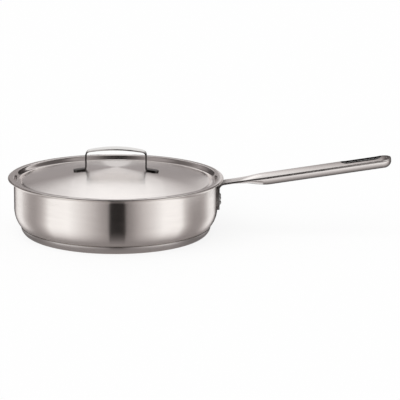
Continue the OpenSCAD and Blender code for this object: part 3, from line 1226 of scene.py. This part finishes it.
FLAT_CARDS = (
    *BACK_CARDS,
    FlatCard("far_left_card", -1.1, -0.75, standing(BACK_Y, (0.0, 0.34, 0.34), (1.2, 0.34, 0.3))),
    FlatCard("far_right_card", 0.55, 0.95, standing(BACK_Y, (0.0, 0.32, 0.32), (1.2, 0.26, 0.34))),
    FlatCard("low_card", -0.105, -0.035, standing(
        1.28, (0.0, 0.75, 0.75), (0.36, 0.75, 0.75), (0.44, 0.5, 0.5))),
    FlatCard("back_floor_card", -0.5, 0.4, lying(0.0008, (0.35, 0.35, 0.35), (BACK_Y, 0.35, 0.35))),
    FlatCard("strap_back_card", -0.065, 0.065, standing(0.03, (0.105, 0.85, 0.85), (0.123, 0.85, 0.85))),
    FlatCard("handle_card", 0.135, 0.42, standing(
        0.3, (0.03, 0.7, 0.0), (0.138, 0.7, 0.0), (0.225, 0.76, 0.0), (0.418, 0.92, 0.08), (1.0, 0.9, 0.08))),
    FlatCard("under_handle_card", 0.19, 0.88, lying(
        0.0497, (-0.14, 0.9, 1.2), (-0.11, 0.9, 1.2), (-0.042, 0.78, 1.2), (-0.031, 0.68, 1.16),
        (-0.013, 0.40, 0.85), (-0.001, 0.22, 0.46), (0.015, 0.1, 0.16), (0.12, 0.06, 0.06),
        (0.7, 0.06, 0.06)), rise=0.1113),
    FlatCard("strap_card", -0.14, 0.08, lying(0.002, (-0.46, 0.03, 0.03), (-0.66, 0.03, 0.03))),
)

SIDE_LINES = ((1.01, 0.0), (1.01, 0.72))
HOODS = (
    HoodCard("front_hood", (
        (-146, 0.09), (-128, 0.12), (-119, 0.14), (-102, 0.1), (-84, 0.11), (-66, 0.34), (-42, 0.26),
        (-19, 0.06), (0, 0.03), (8, 0.03), (28, 0.12), (50, 0.33), (70, 0.32), (89, 0.13), (107, 0.16),
        (123, 0.32), (130, 0.24), (146, 0.12)), ((1.0, 0.3), (1.0, 1.0), (0.7, 1.8), (0.25, 2.4))),
    HoodCard("right_hood", ((-161, 0.03), (-150, 0.05), (-142, 0.1), (-126, 0.13), (-110, 0.14)), SIDE_LINES),
    HoodCard("left_hood", ((112, 0.2), (128, 0.25), (138, 0.1), (158, 0.06)), SIDE_LINES),
)


def seen_flag(graph: Graph) -> Socket:
    """1 for camera, glossy and transmission rays, and 0 for those that only light things."""
    path = graph.node("ShaderNodeLightPath").outputs
    first = graph.math("MAXIMUM", path["Is Camera Ray"], path["Is Glossy Ray"])
    return graph.math("MAXIMUM", first, path["Is Transmission Ray"])


@dataclass
class Studio:
    """White floor, white surround, a soft lamp and reflection cards."""

    floor_size: float = 14.0
    floor_albedo: float = 0.18
    floor_glow: float = 0.85
    surround_light: float = 0.62
    lamp_towards: Triple = (-0.5, -0.6, 1.0)
    lamp_spread: float = 70.0
    lamp_strength: float = 1.2

    def floor(self) -> None:
        """Makes the white floor. It shows white where no shadow falls on it."""
        half = self.floor_size / 2
        corners = [(-half, -half, 0), (half, -half, 0), (half, half, 0), (-half, half, 0)]
        mesh = bpy.data.meshes.new("floor")
        mesh.from_pydata(corners, [], [(0, 1, 2, 3)])
        made, graph = new_material("white_floor")
        matt = graph.node("ShaderNodeBsdfDiffuse", {"Color": (self.floor_albedo,) * 3 + (1.0,)})
        strength = graph.math("MULTIPLY", seen_flag(graph), self.floor_glow)
        glow = graph.node("ShaderNodeEmission", {"Strength": strength})
        graph.output(graph.node("ShaderNodeAddShader", {0: matt.outputs[0], 1: glow.outputs[0]}))
        mesh.materials.append(made)
        linked("floor", mesh)

    def surround(self) -> None:
        """Sets the world: white to the eye and in reflections, softer as light."""
        world = bpy.data.worlds.new("surround")
        world.use_nodes = True
        bpy.context.scene.world = world
        graph = Graph(world.node_tree)
        gain = graph.math("MULTIPLY", seen_flag(graph), 1 - self.surround_light)
        strength = graph.math("ADD", gain, self.surround_light)
        graph.output(graph.node("ShaderNodeBackground", {"Strength": strength}), "ShaderNodeOutputWorld")

    def lamp(self) -> None:
        """Adds a soft even light from the front left, which metal doesn't mirror."""
        light = bpy.data.lights.new("key_lamp", "SUN")
        light.angle = math.radians(self.lamp_spread)
        light.energy = self.lamp_strength
        lamp = linked("key_lamp", light)
        lamp.rotation_mode = "QUATERNION"
        lamp.rotation_quaternion = Vector(self.lamp_towards).to_track_quat("Z", "Y")
        lamp.visible_glossy = False

    def build(self) -> None:
        """Makes the whole studio."""
        self.floor()
        self.surround()
        self.lamp()
        for card in (WallCard(WALL_STOPS), NearCard(), *FLAT_CARDS, *HOODS):
            card.build()
        log.info("studio: floor, surround, lamp and reflection cards")


@dataclass
class PhotoCamera:
    """The camera at the photograph's viewing angle, fitted to a 400 by 400 image. Metres, degrees."""

    distance: float = 2.0
    elevation: float = 13.3
    roll: float = 0.7
    target: Triple = (0.1084, 0.0, 0.0428)
    metres_per_pixel: float = 0.0012925
    image_side: int = 400
    clip: Point = (0.05, 60.0)

    def build(self) -> None:
        """Makes the camera and gives it to the scene."""
        tilt, roll = math.radians(self.elevation), math.radians(self.roll)
        back = Vector((0, -math.cos(tilt), math.sin(tilt)))
        level = Vector((1, 0, 0))
        upright = Vector((0, math.sin(tilt), math.cos(tilt)))
        right = level * math.cos(roll) + upright * math.sin(roll)
        up = upright * math.cos(roll) - level * math.sin(roll)
        data = bpy.data.cameras.new("photo_camera")
        data.lens = data.sensor_width * self.distance / (self.metres_per_pixel * self.image_side)
        data.clip_start, data.clip_end = self.clip
        camera = linked("photo_camera", data)
        turn = Matrix((right, up, back)).transposed().to_4x4()
        camera.matrix_world = Matrix.Translation(Vector(self.target) + back * self.distance) @ turn
        bpy.context.scene.camera = camera
        log.info("camera at %s", tuple(round(c, 3) for c in camera.location))


def main() -> None:
    """Builds the camera, the studio and every piece of the pan in order."""
    logging.basicConfig(level=logging.INFO, format="%(name)s: %(message)s")
    bpy.context.scene.view_settings.view_transform = "Standard"
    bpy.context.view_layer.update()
    for part in (PhotoCamera(), Studio(), Pan(), LongHandle(), Rivets(), Lid()):
        part.build()


if __name__ == "__main__":
    main()
